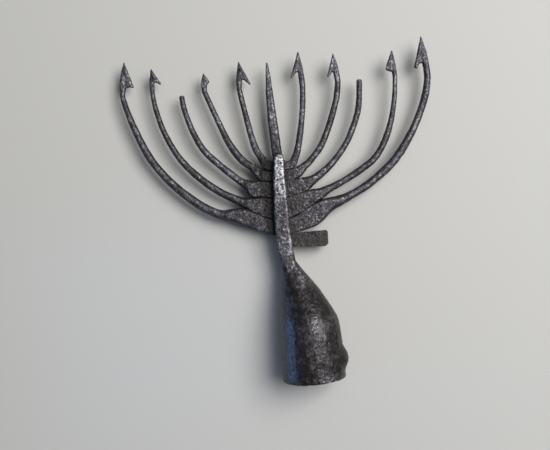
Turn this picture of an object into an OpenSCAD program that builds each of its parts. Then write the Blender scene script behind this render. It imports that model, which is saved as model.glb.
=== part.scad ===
// Hand-forged eleven-point fishing spear head.
//
// Five bent bars are stacked in the fork of the shank, a tapered key locks them from below
// and a straight spike closes the fork. A rolled socket takes the wooden pole.
//
// The origin is the centre of the socket's mouth, on the axis of the pole. +Y runs along the
// pole towards the points, +X to the side where the key stands out, and +Z up with the spear
// head lying on its back. Sizes are in millimetres.

/* [Socket] */
// Radius of the bore that takes the pole
bore_r = 16.5; // [15:0.5:16.5]
// Depth of the straight part of the bore
bore_depth = 28; // [20:1:30]
// Thickness of the socket's wall where it narrows
socket_wall = 2.6; // [2:0.2:3.5]
// Height of the step where the rolled wall laps over itself
lap_step = 0.9; // [0.3:0.1:1.2]

/* [Fork] */
// Height of the fan of bars above the surface that the spear head lies on
fan_height = 10; // [9:0.5:11]
// Width of the slot between the two straps of the fork
slot_w = 7.4; // [6:0.2:8]
// Gap between neighbouring pieces inside the fork
fit_gap = 0.12; // [0.08:0.02:0.2]

/* [Key] */
// Length of the locking key
key_len = 33.5; // [28:0.5:36]
// Drop of the key's underside for each millimetre of its length
key_taper = 0.1; // [0.05:0.01:0.12]

/* [Points] */
// Number of sides on a bar's section, for each quarter of the section
sides_per_quarter = 3; // [2:1:4]
// Number of steps along a bar between two of its stations
steps_per_station = 3; // [2:1:5]
// Width of a sharp point at its very end
point_w = 0.7; // [0.4:0.1:1.2]

/* [Nail] */
// Radius of the nail's head
nail_head_r = 6.6; // [5:0.2:7]
// Radius of the nail's shank
nail_r = 2.2; // [1.6:0.2:2.6]

/* [Hidden] */

iron = [0.22, 0.20, 0.19];
worn_iron = [0.42, 0.41, 0.40];
rusty_iron = [0.27, 0.20, 0.17];

// The spear head lies on its back, with the socket's outside resting on the floor
floor_z = -20;
fan_z = floor_z + fan_height;
bar_t = slot_w - 2 * fit_gap;

// Places along Y where one piece in the fork meets the next: the key's top, then the bars
seam_y = [94.9, 105.2, 119, 129.8, 136.8, 143.4];
weld_y = 77;
shank_mid_x = -10;
fork_top_y = 148.2;

// Stations of each arm, from the fork outwards: x, y and width of the bar.
outer_left = [[-23, 103.1, 9.6], [-29, 106.1, 10.8], [-35, 108.9, 11.7], [-42, 110.8, 8.8],
              [-50, 112.1, 6.1], [-62.5, 119.5, 5.8], [-78.5, 134.5, 5.2], [-91.5, 152.5, 5],
              [-100, 173, 4.5], [-105, 190, 3.6], [-106, 197, 3.3]];
outer_right = [[2, 101.5, 10.8], [10, 104.8, 13.6], [17, 109, 12.2], [23, 111.5, 9.2],
               [29.5, 113.2, 7], [36.5, 115.8, 5.3], [50, 122.4, 5.2], [67.5, 135.6, 5.4],
               [81.5, 154, 4.9], [91, 173, 4.6], [94.5, 186, 4.3], [94.7, 192, 4.3]];
second_left = [[-22, 114.2, 12.8], [-25.5, 115.4, 11.2], [-30, 117, 9], [-36, 119.5, 5.8],
               [-48.5, 126.8, 4.9], [-60.5, 137, 4.7], [-72, 150.5, 4.2], [-80.5, 168, 3.6],
               [-85, 185, 3.3], [-86.2, 197, 2.9]];
second_right = [[2, 113.8, 12.8], [9, 116.6, 11.4], [16.5, 118.8, 7.8], [23.5, 121.8, 5],
                [31, 124.8, 4.3], [44.5, 131.5, 4.4], [56.5, 140, 4.4], [66, 156, 4],
                [71.5, 175, 3.2], [73.5, 190, 2.9]];
third_left = [[-21, 125.7, 10.8], [-25.5, 126.2, 11], [-30, 129.6, 6.6], [-35, 133, 4.9],
              [-46.5, 144, 4.5], [-56.5, 155.5, 4.1], [-63, 170, 3.7], [-66.5, 184, 3.5],
              [-67.3, 192, 3.2]];
third_right = [[2, 125.1, 10.8], [7, 126, 9.8], [12, 128.1, 6.6], [18, 131.5, 4.9],
               [26.5, 137.8, 4.2], [36.5, 149, 4], [43.5, 161.5, 4], [48, 174, 3.8],
               [50, 190.2, 3.5]];
fourth_left = [[-18.8, 133.9, 7.2], [-21.4, 136.1, 6.8], [-25.6, 140.6, 4.9],
               [-32, 146.3, 4.9], [-38.8, 157, 4.6],
               [-44.2, 171, 3.8], [-49.5, 186.5, 3.5], [-52, 194, 3.2]];
fourth_right = [[0, 133.2, 8], [4.2, 134.9, 6.8], [8.2, 137.9, 5], [13, 141.6, 4.1],
                [21, 150.7, 4.3], [28, 164.5, 4], [34, 180.5, 4], [36, 191, 3.8]];
inner_left = [[-16.4, 141.6, 6.2], [-19.3, 146.7, 4.7], [-22.2, 152.5, 4.5],
              [-24.8, 164, 4], [-27.5, 182, 3.6], [-29, 193, 3.4]];
inner_right = [[-1.4, 139.2, 6.2], [1.8, 142.2, 5.2], [4.8, 148.5, 4.4], [8.2, 161, 3.9],
               [11.3, 177, 3.6], [12.7, 191, 3.7]];
spike_stations = [[-8.4, 143.5, 6.2], [-8.9, 158, 6.2], [-9.4, 172, 5.9], [-9.5, 188, 4.5],
                  [-9.2, 200, 3.1]];

// Thickness of the barbs
barb_t = 2.6;

// The two arms of each bar: [stations, tip, back point of the barb, head width, lift of the
// end, width of the barb's end, where its notch begins]. An arm without a tip ends bluntly.
arms = [[[outer_left, [-102.9, 218.6], [-97.9, 201.8], 4.5, -1.5, 1.1, 0.88],
         [outer_right, [93, 214.6], [86.6, 194.8], 4.3, 2, 2.2, 0.79]],
        [[second_left, [-85.4, 212.1], [-79.9, 201.9], 3.4, -1, 0.8, 0.68],
         [second_right, [73.1, 207.2], [67.6, 196], 3.2, 2, 1.3, 0.97]],
        [[third_left, [], [], 0, -1, 0, 0], [third_right, [], [], 0, 1.5, 0, 0]],
        [[fourth_left, [-51.4, 205.8], [-47.9, 200.3], 4, -1, 1.6, 0.97],
         [fourth_right, [34.5, 209.4], [29.3, 194.8], 3.9, 1.5, 1, 0.71]],
        [[inner_left, [-27.5, 210.8], [-21.1, 195.7], 3.7, -0.5, 0.9, 0.64],
         [inner_right, [11.8, 213.1], [5.5, 196.9], 3.8, 1, 1, 0.7]]];

// Stations of the socket: y, its two sides along X, its top and its corner radius
socket_stations = [[0, -19.2, 19.4, 19.2, 19.2], [0.9, -20, 20.2, 20, 20],
                   [3, -20, 20.3, 20, 20], [12, -19.7, 20.3, 20, 19.9], [24, -18.8, 20.1, 19.9, 19.4],
                   [33, -18.1, 19.7, 19.2, 18.8], [40, -17.5, 18.4, 17.8, 17.8],
                   [48, -16.8, 14.6, 14.2, 15.5], [57, -15.7, 9.7, 9.6, 12],
                   [66, -14.5, 3.6, 4.6, 7.5], [72, -13.9, -0.9, 1.4, 4.6],
                   [weld_y, -13.6, -3.8, 0, 2.6]];

// The rolled wall's free edge lies at lap_angle around the pole and fades out over lap_width
lap_angle = 44;
lap_width = 60;
lap_end_y = 60;
lap_fade = 25;

// The hollow ends before the weld, and its wall thickens on the way there
hollow_end_y = 63;
hollow_thicken_y = 40;
neck_extra_wall = 2.6;

// Stations of the shank: y, its two sides along X, how far front and back are cut in, and
// its corner radius
shank_stations = [[weld_y, -13.6, -3.8, 0, 2.6], [84, -15, -4.6, 0, 2], [94, -15.2, -5.2, 0, 1.6],
                  [106, -14.9, -5.2, 0, 1.6], [118, -14.1, -5.3, 0, 1.6],
                  [132, -13, -5.1, 0, 1.6], [143, -11.8, -4.7, 0.4, 1.8],
                  [146.8, -10.4, -5.2, 1.4, 1.6], [fork_top_y, -8.6, -6.4, 2.8, 0.9]];

// The nail goes in through the socket's side, just above the level of the bore's axis
nail_y = 12.9;
socket_side_r = 20.3;
nail_angle = 11;
nail_rise = 3.2;

// The key's thin end is flush with the fork's left side. Its struck end is bevelled.
key_left_x = -14.4;
key_top_y = seam_y[0] - fit_gap;
key_root_h = 7.4;
key_struck_len = 5;
key_bevel_angle = 22;

function lerp(a, b, t) = a + (b - a) * t;
function unit(v) = v / norm(v);
function ease(t) = t < 0 ? 0 : t > 1 ? 1 : t * t * (3 - 2 * t);

// A point on the smooth curve from p1 to p2, where p0 and p3 are the stations around them
function curve_point(p0, p1, p2, p3, t) =
    0.5 * (2 * p1 + (p2 - p0) * t + (2 * p0 - 5 * p1 + 4 * p2 - p3) * t * t
           + (3 * p1 - p0 - 3 * p2 + p3) * t * t * t);

function smooth_path(p, steps) =
    let (last = len(p) - 1)
    [for (i = [0:last - 1], k = [0:steps - 1])
         curve_point(p[max(i - 1, 0)], p[i], p[i + 1], p[min(i + 2, last)], k / steps),
     p[last]];

function reverse(list) = [for (i = [len(list) - 1:-1:0]) list[i]];

// A rounded rectangle that is 2a by 2b with corners of radius r, as points [across, up]
function rounded_section(a, b, r, sides) =
    [for (corner = [0:3], j = [0:sides - 1])
         let (angle = 90 * corner + (j + 0.5) * 90 / sides,
              across = corner == 0 || corner == 3 ? a - r : r - a,
              up = corner < 2 ? b - r : r - b)
         [across + r * cos(angle), up + r * sin(angle)]];

// A closed solid through rings that all have the same number of points
module ring_solid(rings) {
    sides = len(rings[0]);
    last = len(rings) - 1;
    points = [for (ring = rings, p = ring) p];
    walls = [for (i = [0:last - 1], j = [0:sides - 1])
                 let (n = (j + 1) % sides)
                 for (face = [[i * sides + j, i * sides + n, (i + 1) * sides + j],
                              [i * sides + n, (i + 1) * sides + n, (i + 1) * sides + j]])
                     face];
    start_cap = [for (j = [sides - 1:-1:0]) j];
    end_cap = [for (j = [0:sides - 1]) last * sides + j];
    polyhedron(points, concat([start_cap], walls, [end_cap]), convexity = 10);
}

// One ring of a bar that lies in the fan's plane: centre [x, y, z], direction, half width,
// half thickness and corner radius
function bar_ring(centre, way, half_w, half_t, corner) =
    let (side = [way[1], -way[0], 0])
    [for (p = rounded_section(half_w, half_t, corner, sides_per_quarter))
         centre + side * p[0] + [0, 0, p[1]]];

// A bar through rows of [x, y, z, width, thickness, corner radius, share of the ring's
// direction that is turned to lie along X, as it does inside the fork]
module bar(rows) {
    last = len(rows) - 1;
    ring_solid([for (i = [0:last])
        let (row = rows[i],
             ahead = rows[min(i + 1, last)],
             behind = rows[max(i - 1, 0)],
             course = unit([ahead[0] - behind[0], ahead[1] - behind[1]]),
             way = unit(lerp(course, [1, 0], row[6])))
        bar_ring([row[0], row[1], row[2]], way, row[3] / 2, row[4] / 2, row[5])]);
}

// Rows of one arm: square-cornered beside the fork and round further out
function arm_rows(stations, lift) =
    let (path = smooth_path(stations, steps_per_station),
         last = len(path) - 1,
         square_by = steps_per_station * 1.5,
         round_by = steps_per_station * 4.5)
    [for (i = [0:last])
         let (w = path[i][2],
              t = min(w, bar_t),
              corner = lerp(0.5, t / 2 - 0.02, ease(i / round_by)))
         [path[i][0], path[i][1], fan_z + lift * pow(i / last, 2), w, t,
          min(corner, min(w, t) / 2 - 0.02), 1 - ease(i / square_by)]];

// Rows of a barbed head: k is a share of the way to the tip and a share of the head's width
function head_rows(neck, tip, head_w, z) =
    [for (k = [[0.3, 0.94], [0.55, 0.84], [0.8, 0.5], [1, 0]])
         let (w = max(head_w * k[1], point_w),
              place = lerp([neck[0], neck[1]], tip, k[0]))
         [place[0], place[1], z, w, max(0.8 * w, point_w), max(0.8 * w, point_w) * 0.42, 0]];

function blunt_rows(end, before, z) =
    let (way = unit([end[0] - before[0], end[1] - before[1]]), w = end[2])
    [[end[0] + 0.5 * way[0], end[1] + 0.5 * way[1], z, w * 0.72, w * 0.72, w * 0.33, 0]];

// The barb runs back along the head's straight inner edge. Up to the notch it is as wide as
// the head's middle is far, and behind the notch it thins to its end. In k are a share of the
// way to the back point and a share of the distance to the head's middle.
module barb(tip, back_point, neck, notch, end_w, z) {
    edge = back_point - tip;
    along = unit(edge);
    to_neck = unit([neck[0], neck[1]] - tip);
    square = [along[1], -along[0]];
    inward = square * sign(square * to_neck);
    reach = abs(edge[0] * to_neck[1] - edge[1] * to_neck[0]);
    bar([for (k = [[0.05, 0.05], [0.3, 0.3], [notch - 0.2, notch - 0.2], [notch - 0.03, notch],
                   [lerp(notch, 1, 0.15), 0.36], [1, 0]])
             let (w = max(reach * k[1], k[0] < 0.3 ? point_w : end_w),
                  place = tip + edge * k[0] + inward * w / 2,
                  t = min(1.4 * w, barb_t))
             [place[0], place[1], z, w, t, min(w, t) * 0.42, 0]]);
}

// The first station of every arm lies at the face of the fork's straps
function fork_station(level, x) =
    [x, (seam_y[level] + seam_y[level + 1]) / 2,
     seam_y[level + 1] - seam_y[level] - fit_gap];

// The strap narrows upwards, so the higher bars leave it nearer to its middle
function strap_left_x(level) = -15.6 + 0.55 * level;
strap_right_x = -4.8;

function full_arm(level, x, stations) = concat([fork_station(level, x)], stations);

module bar_without_barbs(level) {
    left = arms[level][0];
    right = arms[level][1];
    left_path = full_arm(level, strap_left_x(level), left[0]);
    right_path = full_arm(level, strap_right_x, right[0]);
    bar(concat(reverse(end_rows(left)), reverse(arm_rows(left_path, left[4])),
               arm_rows(right_path, right[4]), end_rows(right)));
}

// One bar of the fan. Beside the fork it is hammered down onto the bar below it.
module fan_bar(level) {
    difference() {
        bar_without_barbs(level);
        if (level > 0)
            translate([0, fit_gap, 0])
                bar_without_barbs(level - 1);
    }
    for (arm = arms[level])
        if (len(arm[2]) > 0)
            barb(arm[1], arm[2], neck_of(arm), arm[6], arm[5], fan_z + arm[4]);
}

function neck_of(arm) = arm[0][len(arm[0]) - 1];

function end_rows(arm) =
    let (neck = neck_of(arm), before = arm[0][len(arm[0]) - 2], z = fan_z + arm[4])
    len(arm[1]) > 0 ? head_rows(neck, arm[1], arm[3], z) : blunt_rows(neck, before, z);

module outer_bar() {
    color(iron)
        fan_bar(0);
}

module second_bar() {
    color(iron)
        fan_bar(1);
}

module third_bar() {
    color(rusty_iron)
        fan_bar(2);
}

module fourth_bar() {
    color(iron)
        fan_bar(3);
}

module inner_bar() {
    color(iron)
        fan_bar(4);
}

module centre_spike() {
    tip = [-9.1, 208.6];
    path = smooth_path(spike_stations, steps_per_station);
    body = [for (p = path) let (t = min(p[2], bar_t)) [p[0], p[1], fan_z, p[2], t, t * 0.3, 0]];
    point = [[tip[0], tip[1], fan_z, point_w, point_w, point_w * 0.3, 0]];
    color(iron)
        bar(concat(body, point));
}

// A ring across the pole's axis at y, between two sides, from low to high
function cross_ring(y, x0, x1, z0, z1, corner, sides, lap) =
    let (a = (x1 - x0) / 2, b = (z1 - z0) / 2)
    [for (p = rounded_section(a, b, min(corner, min(a, b) - 0.02), sides))
         let (past = lap_angle - atan2(p[1], p[0]),
              swell = past >= 0 && past < lap_width ? lap * (1 - past / lap_width) : 0,
              out = 1 + swell / norm(p))
         [(x0 + x1) / 2 + p[0] * out, y, (z0 + z1) / 2 + p[1] * out]];

module socket_outside() {
    rows = smooth_path(socket_stations, 2);
    ring_solid([for (row = rows)
        cross_ring(row[0], row[1], row[2], floor_z, row[3], row[4], 9,
                   lap_step * ease((lap_end_y - row[0]) / lap_fade))]);
}

// The hollow opens from the end of the straight bore, leans with the outside and closes
// before the weld
module socket_hollow() {
    rows = [for (row = smooth_path(socket_stations, 2))
                if (row[0] > bore_depth && row[0] <= hollow_end_y) row];
    start_r = bore_r - 0.2;
    start = cross_ring(bore_depth - 0.5, -start_r, start_r, -start_r, start_r, start_r, 6, 0);
    ring_solid(concat([start], [for (row = rows)
        let (wall = socket_wall + neck_extra_wall * ease((row[0] - hollow_thicken_y) / 20),
             room = 2 * (bore_r - 0.2),
             spare_x = max(row[2] - row[1] - 2 * wall - room, 0) / 2,
             spare_z = max(row[3] - floor_z - 2 * wall - room, 0) / 2)
        cross_ring(row[0], row[1] + wall + spare_x, row[2] - wall - spare_x,
                   floor_z + wall + spare_z, row[3] - wall - spare_z,
                   max(row[4] - wall, 1), 6, 0)]));
}

module along_pole(from_y, r, length) {
    translate([0, from_y, 0])
        rotate([-90, 0, 0])
            cylinder(r = r, h = length, $fn = 96);
}

// Turns a shape that stands on +Z so that it points out through the socket's side wall
module out_through_wall() {
    translate([0, nail_y, 0])
        rotate([0, 90 - nail_angle, 0])
            children();
}

module socket() {
    color(iron)
        difference() {
            socket_outside();
            along_pole(-1, bore_r, bore_depth + 1);
            socket_hollow();
            out_through_wall()
                cylinder(r = nail_r + fit_gap, h = 30, $fn = 32);
        }
}

// The nail's head is hammered down onto the round of the socket
module pole_nail() {
    color(rusty_iron) {
        difference() {
            out_through_wall()
                translate([0, 0, socket_side_r - 3])
                    rotate_extrude($fn = 32)
                        polygon([[0, 0], [nail_head_r - 0.4, 0], [nail_head_r, 1.9],
                                 [nail_head_r * 0.98, 2.8], [nail_head_r * 0.86, nail_rise + 1],
                                 [nail_head_r * 0.6, nail_rise + 2.2],
                                 [nail_head_r * 0.3, nail_rise + 2.8], [0, nail_rise + 3]]);
            scale([1.005, 1, 1.005])
                socket_outside();
        }
        difference() {
            out_through_wall()
                cylinder(r = nail_r, h = socket_side_r + nail_rise / 2, $fn = 32);
            along_pole(-10, bore_r, 50);
        }
    }
}

// The floor of the slot slopes with the key's underside
module slot_cut() {
    floor_left = key_top_y - key_root_h - fit_gap;
    reach = 20;
    slope = key_taper * 2 * reach;
    mid_y = floor_left - key_taper * (shank_mid_x - key_left_x);
    translate([0, 0, fan_z - slot_w / 2])
        linear_extrude(slot_w)
            polygon([[shank_mid_x - reach, mid_y + slope / 2],
                     [shank_mid_x + reach, mid_y - slope / 2],
                     [shank_mid_x + reach, fork_top_y + 5],
                     [shank_mid_x - reach, fork_top_y + 5]]);
}

module shank() {
    color(worn_iron)
        difference() {
            ring_solid([for (row = smooth_path(shank_stations, 2))
                cross_ring(row[0], row[1], row[2], floor_z + row[3], -row[3], row[4], 3, 0)]);
            slot_cut();
        }
}

module lock_key() {
    right_x = key_left_x + key_len;
    bottom_left = key_top_y - key_root_h;
    bevel_x = right_x - key_struck_len;
    bottom_right = bottom_left - key_taper * (key_len - key_struck_len);
    color(rusty_iron)
        difference() {
            translate([0, 0, fan_z - bar_t / 2])
                linear_extrude(bar_t)
                    polygon([[key_left_x, bottom_left], [bevel_x, bottom_right],
                             [right_x - 2, bottom_right - 0.2], [right_x - 0.2, bottom_right + 1.4],
                             [right_x, key_top_y - 1.2], [right_x - 0.9, key_top_y],
                             [key_left_x, key_top_y]]);
            translate([bevel_x - 0.4, bottom_right - 10, fan_z + bar_t / 2])
                rotate([0, key_bevel_angle, 0])
                    cube([2 * key_struck_len, 30, 6]);
        }
}

socket();
shank();
centre_spike();
outer_bar();
second_bar();
third_bar();
fourth_bar();
inner_bar();
lock_key();
pole_nail();
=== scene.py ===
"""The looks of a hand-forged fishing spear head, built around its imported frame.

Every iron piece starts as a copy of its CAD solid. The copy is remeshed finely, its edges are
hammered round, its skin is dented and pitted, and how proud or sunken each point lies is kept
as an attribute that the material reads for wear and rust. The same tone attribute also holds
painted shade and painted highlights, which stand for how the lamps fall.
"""
import math

import bmesh
import bpy
import numpy as np
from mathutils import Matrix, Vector, noise
from mathutils.bvhtree import BVHTree


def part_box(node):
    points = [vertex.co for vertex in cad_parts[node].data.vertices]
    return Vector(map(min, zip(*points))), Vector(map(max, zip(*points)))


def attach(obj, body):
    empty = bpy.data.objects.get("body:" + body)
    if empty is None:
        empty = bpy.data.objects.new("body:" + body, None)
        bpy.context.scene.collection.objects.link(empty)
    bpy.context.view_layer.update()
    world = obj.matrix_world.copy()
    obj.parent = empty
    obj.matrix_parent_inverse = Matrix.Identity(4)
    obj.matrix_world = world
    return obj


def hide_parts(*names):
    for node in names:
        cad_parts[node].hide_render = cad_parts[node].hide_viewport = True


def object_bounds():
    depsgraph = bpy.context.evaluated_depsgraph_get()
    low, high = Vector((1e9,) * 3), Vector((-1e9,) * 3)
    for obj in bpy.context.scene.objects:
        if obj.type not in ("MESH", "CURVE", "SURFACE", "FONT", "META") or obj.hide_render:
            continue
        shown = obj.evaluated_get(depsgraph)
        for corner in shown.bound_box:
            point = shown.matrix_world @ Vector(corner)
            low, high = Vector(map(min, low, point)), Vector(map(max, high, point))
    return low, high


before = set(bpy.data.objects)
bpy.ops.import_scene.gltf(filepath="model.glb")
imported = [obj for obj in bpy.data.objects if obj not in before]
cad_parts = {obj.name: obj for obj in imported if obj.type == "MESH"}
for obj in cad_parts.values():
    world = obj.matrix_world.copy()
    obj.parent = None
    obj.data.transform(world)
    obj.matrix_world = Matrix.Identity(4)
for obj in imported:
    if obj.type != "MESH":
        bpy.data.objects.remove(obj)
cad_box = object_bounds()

MM = 0.001
WELD = 0.001 * MM                # points of the CAD solids closer than this are one
CUT_SNAP = 0.02 * MM             # points closer than this to a cut are moved into it
NEAR = 0.7 * MM                  # a neighbour closer than this keeps a surface flat
CONTACT = 0.3                    # a point that is "near" by more than this can't stand proud
CONTACT_ROUNDING = 0.05          # share of the rounding that is left where two pieces meet
SHRINK, GROW = 0.5, -0.52        # one pass of rounding, in which the two keep the volume

# Lengths in mm
DENT_SIZE = 6.5                  # how large the dents, grain and pits of the skin are across
GRAIN_SIZE, FINE_GRAIN_SIZE = 2.3, 1.1
PIT_SIZE, SMALL_PIT_SIZE = 2.1, 1.25
BAR_SWELL = 0.12                 # how much fuller the bars are than the CAD
BODY_VOXEL = 0.46                # the socket is large enough for a coarser skin

# Places on the spear head, in mm
FORK_X, FORK_Y = -10, 122            # the middle of the stack of bars
STRAP_LEFT, STRAP_RIGHT = -15, -5    # the sides of the fork's front strap
STRAP_FOOT, STRAP_TOP = 92, 144      # the stretch of it that bars come out beside
KEY_BEVEL, KEY_BURR = 14, 18         # where the bevel and the burr on the key's end start
DARK_R, DARK_END = 17.2, 60          # iron this near the pole's axis is darker, up to here
HEAD_DEPTH = 6                       # from the top of the nail's head

# Ways that the places on the socket face which are partly rubbed and partly a painted highlight,
# turned towards the main lamp
FLANK_WEAR_AND_HIGHLIGHT_WAY = (0.25, 0.12, 0.96)
NECK_WEAR_AND_HIGHLIGHT_WAY = (0.4, 0.46, 0.79)

low, high = cad_box
centre = (Vector(low) + Vector(high)) / 2
floor_z = low[2]
neck_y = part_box("shank")[0].y
nail_foot = (0, 0.0129, 0)  # where the nail's axis crosses the pole's, in metres
nail_way = (math.cos(math.radians(11)), 0, math.sin(math.radians(11)))


# ---------------------------------------------------------------- mesh helpers

def mesh_arrays(mesh):
    """Points, faces as lists of corners, and edges of a mesh."""
    points = np.empty(len(mesh.vertices) * 3)
    mesh.vertices.foreach_get("co", points)
    edges = np.empty(len(mesh.edges) * 2, int)
    mesh.edges.foreach_get("vertices", edges)
    return points.reshape(-1, 3), [list(p.vertices) for p in mesh.polygons], edges.reshape(-1, 2)


def point_normals(mesh):
    normals = np.empty(len(mesh.vertices) * 3)
    mesh.vertex_normals.foreach_get("vector", normals)
    return normals.reshape(-1, 3)


def neighbour_mean(values, edges, count):
    """The mean over each point's neighbours."""
    total = np.zeros_like(values)
    np.add.at(total, edges[:, 0], values[edges[:, 1]])
    np.add.at(total, edges[:, 1], values[edges[:, 0]])
    return total / (count if values.ndim == 1 else count[:, None])


def neighbour_count(edges, size):
    """How many neighbours each point has."""
    return np.maximum(np.bincount(edges.ravel(), minlength=size), 1)


def set_points(mesh, points):
    mesh.vertices.foreach_set("co", points.ravel())
    mesh.update()


def ease(low_end, high_end, value):
    """0 at low_end, 1 at high_end and smooth between. Falls if high_end is the smaller."""
    t = np.clip((value - low_end) / (high_end - low_end), 0, 1)
    return t * t * (3 - 2 * t)


def remeshed(nodes, voxel):
    """One even skin of quads around the CAD solids of the given nodes."""
    bm = bmesh.new()
    for node in nodes:
        bm.from_mesh(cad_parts[node].data)
    bmesh.ops.remove_doubles(bm, verts=bm.verts, dist=WELD)
    mesh = bpy.data.meshes.new("solid")
    bm.to_mesh(mesh)
    bm.free()
    holder = bpy.data.objects.new("holder", mesh)
    bpy.context.scene.collection.objects.link(holder)
    skin = holder.modifiers.new("skin", "REMESH")
    skin.mode = "VOXEL"
    skin.voxel_size = voxel
    skin.adaptivity = 0
    result = bpy.data.meshes.new_from_object(
        holder.evaluated_get(bpy.context.evaluated_depsgraph_get()))
    bpy.data.objects.remove(holder)
    bpy.data.meshes.remove(mesh)
    return result


def cut_across(mesh, y):
    """Adds a loop of edges in a plane across the pole's axis, and marks the faces beyond it."""
    bm = bmesh.new()
    bm.from_mesh(mesh)
    bmesh.ops.bisect_plane(bm, geom=bm.verts[:] + bm.edges[:] + bm.faces[:],
                           plane_co=(0, y, 0), plane_no=(0, 1, 0), dist=CUT_SNAP)
    beyond = [face.calc_center_median().y > y for face in bm.faces]
    bm.to_mesh(mesh)
    bm.free()
    mesh.attributes.new("beyond", "BOOLEAN", "FACE").data.foreach_set("value", beyond)


def tree_of(nodes):
    """A search tree over the CAD solids of the given nodes."""
    points, faces = [], []
    for name in nodes:
        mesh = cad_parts[name].data
        start = len(points)
        points += [v.co.copy() for v in mesh.vertices]
        faces += [[start + k for k in p.vertices] for p in mesh.polygons]
    return BVHTree.FromPolygons(points, faces)


# ---------------------------------------------------------------- the forged skin

def pit(place, size):
    """How deep a place lies in a pit, from 0 to 1. Not every cell of the pattern has a pit."""
    distances, centres = noise.voronoi(place / size)
    if noise.noise(centres[0] * 3.1) < 0.02:
        return 0
    return max(0, 1 - 2.1 * distances[0])


def skin_height(points, dent, grain, pitting, rough):
    """Height of the hammered and corroded skin at each point, in metres."""
    heights = np.empty(len(points))
    for i, p in enumerate(points):
        place = Vector(p) / MM
        coarse = rough[i]
        heights[i] = (dent * noise.noise(place / DENT_SIZE)
                      + (0.6 + 1.6 * coarse) * grain * noise.noise(place / GRAIN_SIZE)
                      + (0.5 + coarse) * grain * noise.noise(place / FINE_GRAIN_SIZE)
                      - (1 + coarse) * pitting * pit(place, PIT_SIZE)
                      - 0.6 * pitting * pit(place + Vector((40, 0, 0)), SMALL_PIT_SIZE))
    return heights * MM


def coarseness(points):
    """How coarsely the skin is pitted: most around the fork, and at the rim of the socket."""
    x, y, _ = points.T / MM
    from_fork = np.hypot(x - FORK_X, (y - FORK_Y) * 0.8)
    return ease(34, 20, from_fork) + 0.8 * ease(5, 0, y)


def flare_onto(mesh, other, axis_point, axis, reach):
    """Spreads the rim of a hammered head so that it runs out onto the piece that it sits on.

    The rim moves away from the axis by up to reach, and follows the other piece's surface.
    """
    surface = tree_of([other])
    points, _, _ = mesh_arrays(mesh)
    offset = points - np.array(axis_point)
    along = offset @ np.array(axis)
    across = offset - along[:, None] * np.array(axis)
    radius = np.linalg.norm(across, axis=1)
    height = np.array([surface.find_nearest(Vector(p))[3] for p in points])
    outside = along > along.max() - HEAD_DEPTH * MM
    share = ease(3 * MM, 0, height) * ease(0.55, 0.95, radius / radius.max()) * outside
    for i in np.flatnonzero(share > 0):
        moved = points[i] + across[i] / radius[i] * reach * share[i]
        spot, normal, _, _ = surface.find_nearest(Vector(moved))
        points[i] = spot + normal * height[i] * (1 - 0.75 * share[i])
    set_points(mesh, points)


def forge(nodes, voxel=0.38, rounding=4, dent=0.15, grain=0.12, pitting=0.2, swell=0.0):
    """A forged skin for CAD nodes, which are one piece of iron if there are several.

    The voxel is the skin's mesh width, rounding counts the passes that soften the edges, and
    dent, grain, pitting and swell are heights, all in mm. Where a neighbour is near, the skin
    keeps its shape, and the mesh says so in "near".
    """
    mesh = remeshed(nodes, voxel * MM)
    if len(nodes) > 1:
        cut_across(mesh, neck_y)
    points, _, edges = mesh_arrays(mesh)
    count = neighbour_count(edges, len(points))

    others = tree_of([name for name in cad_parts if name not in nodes])
    near = np.array([others.find_nearest(Vector(p), NEAR)[0] is not None for p in points], float)
    for _ in range(2):
        near = np.maximum(near, neighbour_mean(near, edges, count))
    freedom = 1 - near * (1 - CONTACT_ROUNDING)

    for _ in range(rounding):
        for pull in (SHRINK, GROW):
            points += pull * freedom[:, None] * (neighbour_mean(points, edges, count) - points)
    set_points(mesh, points)
    normals = point_normals(mesh)
    height = skin_height(points, dent, grain, pitting, coarseness(points)) + swell * MM
    height = np.where(near > CONTACT, np.minimum(height, 0) * 0.3, height)
    points = points + normals * height[:, None]
    points[:, 2] = np.maximum(points[:, 2], floor_z)
    set_points(mesh, points)
    layer = mesh.attributes.new("near", "FLOAT", "POINT")
    layer.data.foreach_set("value", near.astype(np.float32))
    return mesh


def proudness(mesh, passes):
    """How far each point stands out of the skin around it, in mm; sunken points are negative."""
    points, _, edges = mesh_arrays(mesh)
    count = neighbour_count(edges, len(points))
    around = points
    for _ in range(passes):
        around = neighbour_mean(around, edges, count)
    return np.einsum("ij,ij->i", points - around, point_normals(mesh)) / MM


def mark_wear_and_shade(mesh, lean):
    """Keeps tone and dirt on the mesh: how light the iron is, and where it holds dirt.

    Lean is the function that gives the tone of smooth iron from points in mm and normals; it also
    holds painted shade and painted highlights.
    """
    points, _, _ = mesh_arrays(mesh)
    near = np.empty(len(points), np.float32)
    mesh.attributes["near"].data.foreach_get("value", near)
    fine = np.clip(proudness(mesh, 3) / 0.05, -2, 1) * (1 - 0.8 * near)
    broad = np.clip(proudness(mesh, 14) / 0.2, -2, 0.4) * (1 - 0.8 * near)
    tone = 0.08 * fine + 0.05 * broad + lean(points / MM, point_normals(mesh))
    dirt = -0.7 * fine - 0.7 * broad
    for name, values in (("tone", tone), ("dirt", dirt)):
        layer = mesh.attributes.new(name, "FLOAT", "POINT")
        layer.data.foreach_set("value", values.astype(np.float32))


def add_piece(name, mesh, body, nodes, material):
    mesh.name = name
    mesh.shade_smooth()
    piece = bpy.data.objects.new(name, mesh)
    bpy.context.scene.collection.objects.link(piece)
    mesh.materials.clear()
    mesh.materials.append(material)
    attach(piece, body)
    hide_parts(*nodes)


# ---------------------------------------------------------------- the iron

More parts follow.
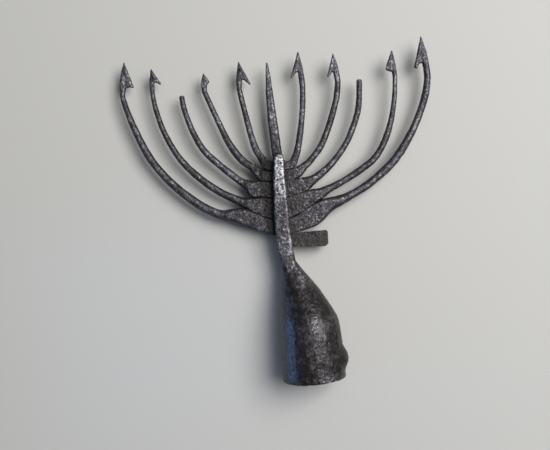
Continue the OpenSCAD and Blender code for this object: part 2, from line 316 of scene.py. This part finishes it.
class Nodes:
    """Short ways to add nodes to a material."""

    def __init__(self, name):
        self.material = bpy.data.materials.new(name)
        self.material.use_nodes = True
        self.tree = self.material.node_tree
        self.shader = self.tree.nodes["Principled BSDF"]

    def add(self, kind, **settings):
        made = self.tree.nodes.new(kind)
        for key, value in settings.items():
            setattr(made, key, value)
        return made

    def put(self, value, socket):
        if isinstance(value, bpy.types.NodeSocket):
            self.tree.links.new(value, socket)
        else:
            socket.default_value = value

    def math(self, operation, a, b=0.0, clamp=False):
        made = self.add("ShaderNodeMath", operation=operation, use_clamp=clamp)
        self.put(a, made.inputs[0])
        self.put(b, made.inputs[1])
        return made.outputs[0]

    def attribute(self, name):
        return self.add("ShaderNodeAttribute", attribute_name=name).outputs["Fac"]

    def noise(self, length_mm, detail=2.0, roughness=0.5):
        """Noise from 0 to 1 whose lumps are about length_mm long."""
        made = self.add("ShaderNodeTexNoise")
        self.put(self.place, made.inputs["Vector"])
        made.inputs["Scale"].default_value = 1 / (length_mm * MM)
        made.inputs["Detail"].default_value = detail
        made.inputs["Roughness"].default_value = roughness
        return made.outputs["Fac"]

    def cells(self, length_mm):
        """Distance to the nearest of many scattered points, in cell lengths."""
        made = self.add("ShaderNodeTexVoronoi")
        self.put(self.place, made.inputs["Vector"])
        made.inputs["Scale"].default_value = 1 / (length_mm * MM)
        return made.outputs["Distance"]

    def step(self, value, start, end):
        """0 below start, 1 above end and smooth between."""
        made = self.add("ShaderNodeMapRange", interpolation_type="SMOOTHSTEP")
        self.put(value, made.inputs["Value"])
        made.inputs["From Min"].default_value = start
        made.inputs["From Max"].default_value = end
        return made.outputs["Result"]

    def blend(self, share, a, b):
        """A number between two others."""
        made = self.add("ShaderNodeMix", data_type="FLOAT")
        self.put(share, made.inputs[0])
        self.put(a, made.inputs[2])
        self.put(b, made.inputs[3])
        return made.outputs[0]

    def colour(self, share, a, b):
        """A colour between two others."""
        made = self.add("ShaderNodeMix", data_type="RGBA")
        self.put(share, made.inputs[0])
        self.put((*a, 1) if isinstance(a, tuple) else a, made.inputs[6])
        self.put((*b, 1) if isinstance(b, tuple) else b, made.inputs[7])
        return made.outputs[2]

    def ramp(self, value, stops):
        """A colour that runs through several stops, each a place from 0 to 1 and a colour."""
        made = self.add("ShaderNodeValToRGB")
        self.put(value, made.inputs[0])
        elements = made.color_ramp.elements
        while len(elements) < len(stops):
            elements.new(0.5)
        for element, (position, colour) in zip(elements, stops):
            element.position = position
            element.color = (*colour, 1)
        return made.outputs[0]

    @property
    def place(self):
        if not hasattr(self, "_place"):
            self._place = self.add("ShaderNodeTexCoord").outputs["Object"]
        return self._place


IRON_TONES = ((0.0, (0.010, 0.008, 0.007)), (0.22, (0.027, 0.022, 0.021)),
              (0.42, (0.062, 0.056, 0.062)), (0.60, (0.125, 0.120, 0.140)),
              (0.78, (0.250, 0.250, 0.270)), (1.0, (0.560, 0.560, 0.570)))


def iron(name, rusty=0.0, contrast=1.0, pits=0.16, roughness=(0.46, 0.62)):
    """Old forged iron, from brown-black patina to bare grey metal, with rust in the hollows."""
    n = Nodes(name)
    rust = (0.055, 0.032, 0.022)

    cloud = n.noise(13, detail=3)
    mottle = n.noise(3.4, detail=4, roughness=0.6)
    speck = n.noise(1.25, detail=3, roughness=0.7)
    flecks = n.step(n.noise(1.5, detail=2), 0.6, 0.7)
    pitted = n.step(n.cells(1.5), 0.34, 0.12)

    tone = n.attribute("tone")
    for part, weight in ((cloud, 0.5), (mottle, 0.8 * contrast), (speck, contrast)):
        tone = n.math("ADD", tone, n.math("MULTIPLY", n.math("SUBTRACT", part, 0.5), weight))
    tone = n.math("ADD", tone, n.math("MULTIPLY", flecks, 0.2))
    tone = n.math("SUBTRACT", tone, n.math("MULTIPLY", pitted, pits), clamp=True)

    hollow = n.math("ADD", n.attribute("dirt"), n.math("MULTIPLY", pitted, 0.5))
    rusting = n.math("ADD", hollow, n.math("MULTIPLY", n.math("SUBTRACT", cloud, 0.56 - rusty), 4))
    rusting = n.math("MULTIPLY", n.step(rusting, 0.2, 1.4), n.step(tone, 0.62, 0.4))
    rusting = n.math("MULTIPLY", rusting, n.step(tone, 0.02, 0.14))

    colour = n.colour(n.math("MULTIPLY", rusting, 0.6), n.ramp(tone, IRON_TONES), rust)
    n.put(colour, n.shader.inputs["Base Color"])
    metallic = n.blend(n.step(tone, 0.25, 0.65), 0.25, 0.85)
    n.put(n.blend(rusting, metallic, 0.1), n.shader.inputs["Metallic"])
    rough = n.blend(n.step(mottle, 0.3, 0.7), *roughness)
    n.put(n.blend(rusting, rough, 0.8), n.shader.inputs["Roughness"])
    n.shader.inputs["Specular IOR Level"].default_value = 0.5

    relief = n.math("MULTIPLY", speck, 0.6)
    relief = n.math("SUBTRACT", relief, n.math("MULTIPLY", pitted, 0.6))
    relief = n.math("ADD", relief, n.math("MULTIPLY", n.noise(0.45, detail=2), 0.25))
    bump = n.add("ShaderNodeBump")
    bump.inputs["Strength"].default_value = 1.0
    bump.inputs["Distance"].default_value = 0.15 * MM
    n.put(relief, bump.inputs["Height"])
    n.put(bump.outputs["Normal"], n.shader.inputs["Normal"])
    return n.material


dark_iron = iron("dark_iron", contrast=1.6, pits=0.2)
worn_iron = iron("worn_iron", contrast=1.8, pits=0.45)
rusty_iron = iron("rusty_iron", rusty=0.12)
socket_iron = iron("socket_iron", rusty=0.08, contrast=1.8, pits=0.22, roughness=(0.32, 0.46))


# ---------------------------------------------------------------- the pieces

def bar_tone(points, normals):
    """Faces that point up are painted lighter than the sides, a painted shade on the rods' sides.
    Beside the strap the bars are painted dark: a painted shadow of the strap on its left, and
    painted shade in the corner on its right.
    """
    x, y, _ = points.T
    along_strap = ease(STRAP_FOOT - 8, STRAP_FOOT, y) * ease(STRAP_TOP + 6, STRAP_TOP, y)
    # Painted shadow that the strap casts on the bars to its left, and painted shade in the corner
    # on its right.
    painted_strap_shadow_left = (ease(STRAP_LEFT - 7.5, STRAP_LEFT - 4.5, x)
                     * ease(STRAP_LEFT + 7, STRAP_LEFT, x) * along_strap)
    painted_strap_shade_right = (ease(STRAP_RIGHT + 7, STRAP_RIGHT + 2, x)
                      * ease(STRAP_RIGHT - 5, STRAP_RIGHT - 1, x) * along_strap)
    # Faces that point up are painted lighter than the sides, as painted shade on the rods' sides.
    return (0.03 + 0.41 * ease(0.35, 1, normals[:, 2]) - 0.08 * coarseness(points * MM)
            - 0.45 * painted_strap_shadow_left - 0.08 * painted_strap_shade_right)


def dark_tone(points, normals):
    """Iron that has hardly been rubbed. Faces that point up are painted a little lighter, as
    painted shade on the sides.
    """
    return 0.14 + 0.07 * normals[:, 2]


def nail_tone(points, normals):
    """The same as the socket around the nail's head, with faces that point up painted a little
    lighter as painted shade.
    """
    return 0.12 + 0.06 * normals[:, 2]


def key_tone(points, normals):
    """The struck end is darker than the rest, but for its burred edge."""
    x = points[:, 0]
    struck = ease(KEY_BEVEL - 1.5, KEY_BEVEL, x) * ease(KEY_BURR + 0.6, KEY_BURR, x)
    return dark_tone(points, normals) - 0.09 * struck


for node, body, slot in (("outer_bar", "outer_bar", "dark_iron"),
                         ("second_bar", "second_bar", "dark_iron"),
                         ("third_bar", "third_bar", "rusty_iron"),
                         ("fourth_bar", "fourth_bar", "dark_iron"),
                         ("inner_bar", "inner_bar", "dark_iron"),
                         ("centre_spike", "fork", "dark_iron")):
    mesh = forge([node], swell=BAR_SWELL)
    mark_wear_and_shade(mesh, bar_tone)
    add_piece(node + "_forged", mesh, body, [node], dark_iron)

mesh = forge(["lock_key"], rounding=10, dent=0.2)
mark_wear_and_shade(mesh, key_tone)
add_piece("lock_key_forged", mesh, "key", ["lock_key"], rusty_iron)

mesh = forge(["pole_nail"], rounding=10, dent=0.3)
flare_onto(mesh, "socket", nail_foot, nail_way, 2.6 * MM)
mark_wear_and_shade(mesh, nail_tone)
add_piece("pole_nail_forged", mesh, "fork", ["pole_nail"], socket_iron)


def split_at_cut(mesh):
    """Two closed meshes from one that was cut across, with shared shading normals."""
    points, faces, _ = mesh_arrays(mesh)
    beyond = np.empty(len(faces), bool)
    mesh.attributes["beyond"].data.foreach_get("value", beyond)
    normals = point_normals(mesh)
    values = {}
    for key in ("tone", "dirt"):
        column = np.empty(len(points), np.float32)
        mesh.attributes[key].data.foreach_get("value", column)
        values[key] = column
    halves = []
    for side in (False, True):
        kept = [face for face, is_beyond in zip(faces, beyond) if is_beyond == side]
        used = sorted({k for f in kept for k in f})
        index = {k: i for i, k in enumerate(used)}
        half = bpy.data.meshes.new("half")
        half.from_pydata(points[used].tolist(), [], [[index[k] for k in f] for f in kept])
        bm = bmesh.new()
        bm.from_mesh(half)
        rim = [e for e in bm.edges if e.is_boundary]
        for cap in bmesh.ops.holes_fill(bm, edges=rim, sides=0)["faces"]:
            cap.smooth = False
        bm.to_mesh(half)
        bm.free()
        half.update()
        for key, column in values.items():
            layer = half.attributes.new(key, "FLOAT", "POINT")
            layer.data.foreach_set("value", column[used])
        halves.append((half, normals[used]))
    return halves


def body_tone(points, normals):
    """The fork's outer face is rubbed bright towards its top. The band along the socket's upper
    right and the patch below the neck are partly rubbed and partly a painted highlight, laid where
    the skin faces the main lamp; the strap's right edge is a painted highlight, and faces that
    point up are painted a little lighter.

    Heights z are above the pole's axis, and the front strap's face lies at z = 0.
    """
    x, y, z = points.T
    neck = neck_y / MM
    face = ease(0.55, 0.9, normals[:, 2]) * ease(-2.5, -0.8, z)
    strap = ease(neck - 6, neck + 8, y) * face * (
        0.33 + 0.07 * ease(98, 88, y) + 0.37 * ease(108, 138, y))
    # Painted highlight on the strap's right bevel, which faces the main lamp.
    right_edge_highlight = ease(0.25, 0.6, normals[:, 0]) * ease(-3, -1, z) * ease(neck, neck + 10, y)
    # Band along the socket's upper right and patch below the neck: partly rubbed iron, partly a
    # painted highlight where the skin faces the main lamp.
    flank = ease(0.88, 0.985, normals @ np.array(FLANK_WEAR_AND_HIGHLIGHT_WAY)) * ease(neck + 6, neck - 4, y)
    below_neck = (ease(0.8, 0.96, normals @ np.array(NECK_WEAR_AND_HIGHLIGHT_WAY))
                  * ease(neck - 34, neck - 4, y) * ease(neck + 8, neck + 2, y))
    wear_and_highlight = np.maximum.reduce(
        [strap, flank * (0.07 + 0.16 * ease(neck - 34, neck, y)), 0.36 * below_neck])
    dark = (np.hypot(x, z) < DARK_R) & (y < DARK_END)
    rim = ease(8, 1, y) * ease(0, 8, x) * ease(-8, 2, z)
    # Faces that point up are painted a little lighter, as painted shade.
    return (0.1 + 0.05 * normals[:, 2] + wear_and_highlight + 0.28 * right_edge_highlight + 0.3 * rim
            - 0.12 * dark)


mesh = forge(["socket", "shank"], voxel=BODY_VOXEL, dent=0.22, grain=0.13)
mark_wear_and_shade(mesh, body_tone)
for (half, shading), node, material, slot in zip(split_at_cut(mesh), ("socket", "shank"),
                                                 (socket_iron, worn_iron),
                                                 ("dark_iron", "worn_iron")):
    add_piece(node + "_forged", half, "fork", [node], material)
    half.normals_split_custom_set_from_vertices(shading.tolist())


# ---------------------------------------------------------------- floor, light and camera

FLOOR_HALF = 1.6           # metres from the floor's middle to its sides
FLOOR_DROP = 0.02 * MM     # keeps the floor's face apart from the iron that lies on it
LENS = 49.7                # mm
CAMERA_Z = 0.49            # metres
CAMERA_OFFSET = (-0.0095, -0.0078, 0)   # metres from the object's middle
CAMERA_TURN = -6           # degrees


def plain_floor():
    mesh = bpy.data.meshes.new("floor")
    corners = [(centre.x + a * FLOOR_HALF, centre.y + b * FLOOR_HALF, floor_z - FLOOR_DROP)
               for a, b in ((-1, -1), (1, -1), (1, 1), (-1, 1))]
    mesh.from_pydata(corners, [], [[0, 1, 2, 3]])
    floor = bpy.data.objects.new("floor", mesh)
    bpy.context.scene.collection.objects.link(floor)
    n = Nodes("pale_floor")
    n.shader.inputs["Base Color"].default_value = (0.62, 0.61, 0.58, 1)
    n.shader.inputs["Roughness"].default_value = 0.9
    mesh.materials.append(n.material)


def soft_light(name, direction, distance, size, power, colour=(1, 1, 1), aim=centre, spread=180):
    """An area light that stands in a direction from its aim and shines back at it."""
    data = bpy.data.lights.new(name, "AREA")
    data.spread = math.radians(spread)
    data.shape = "RECTANGLE"
    data.size, data.size_y = size
    data.energy = power
    data.color = colour
    lamp = bpy.data.objects.new(name, data)
    bpy.context.scene.collection.objects.link(lamp)
    way = Vector(direction).normalized()
    lamp.location = aim + way * distance
    lamp.rotation_euler = (-way).to_track_quat("-Z", "Y").to_euler()


def camera_above():
    """Straight above the object, turned a little, as a hand-held picture of it would be."""
    data = bpy.data.cameras.new("camera")
    data.lens = LENS
    data.clip_start = 0.01
    camera = bpy.data.objects.new("camera", data)
    bpy.context.scene.collection.objects.link(camera)
    camera.location = centre + Vector(CAMERA_OFFSET)
    camera.location.z = CAMERA_Z
    camera.rotation_euler = (0, 0, math.radians(CAMERA_TURN))
    bpy.context.scene.camera = camera


plain_floor()
soft_light("main", direction=(0.6, 0.25, 1.0), distance=1.4, size=(0.9, 0.9), power=20)
soft_light("window", direction=(-1.0, 0.0, 0.1), distance=0.35, size=(0.16, 0.03), power=0.018,
           colour=(0.2, 0.42, 1.0), aim=Vector((0, 0.03, floor_z + 0.02)), spread=30)
soft_light("overhead", direction=(0.2, 0.4, 1.0), distance=1.6, size=(1.2, 1.2), power=2.5,
           colour=(0.97, 0.98, 1.0))
camera_above()

world = bpy.data.worlds.new("studio")
bpy.context.scene.world = world
world.use_nodes = True
sky = world.node_tree.nodes["Background"].inputs
sky["Color"].default_value = (0.75, 0.8, 0.9, 1)
sky["Strength"].default_value = 0.13
bpy.context.scene.view_settings.view_transform = "Standard"
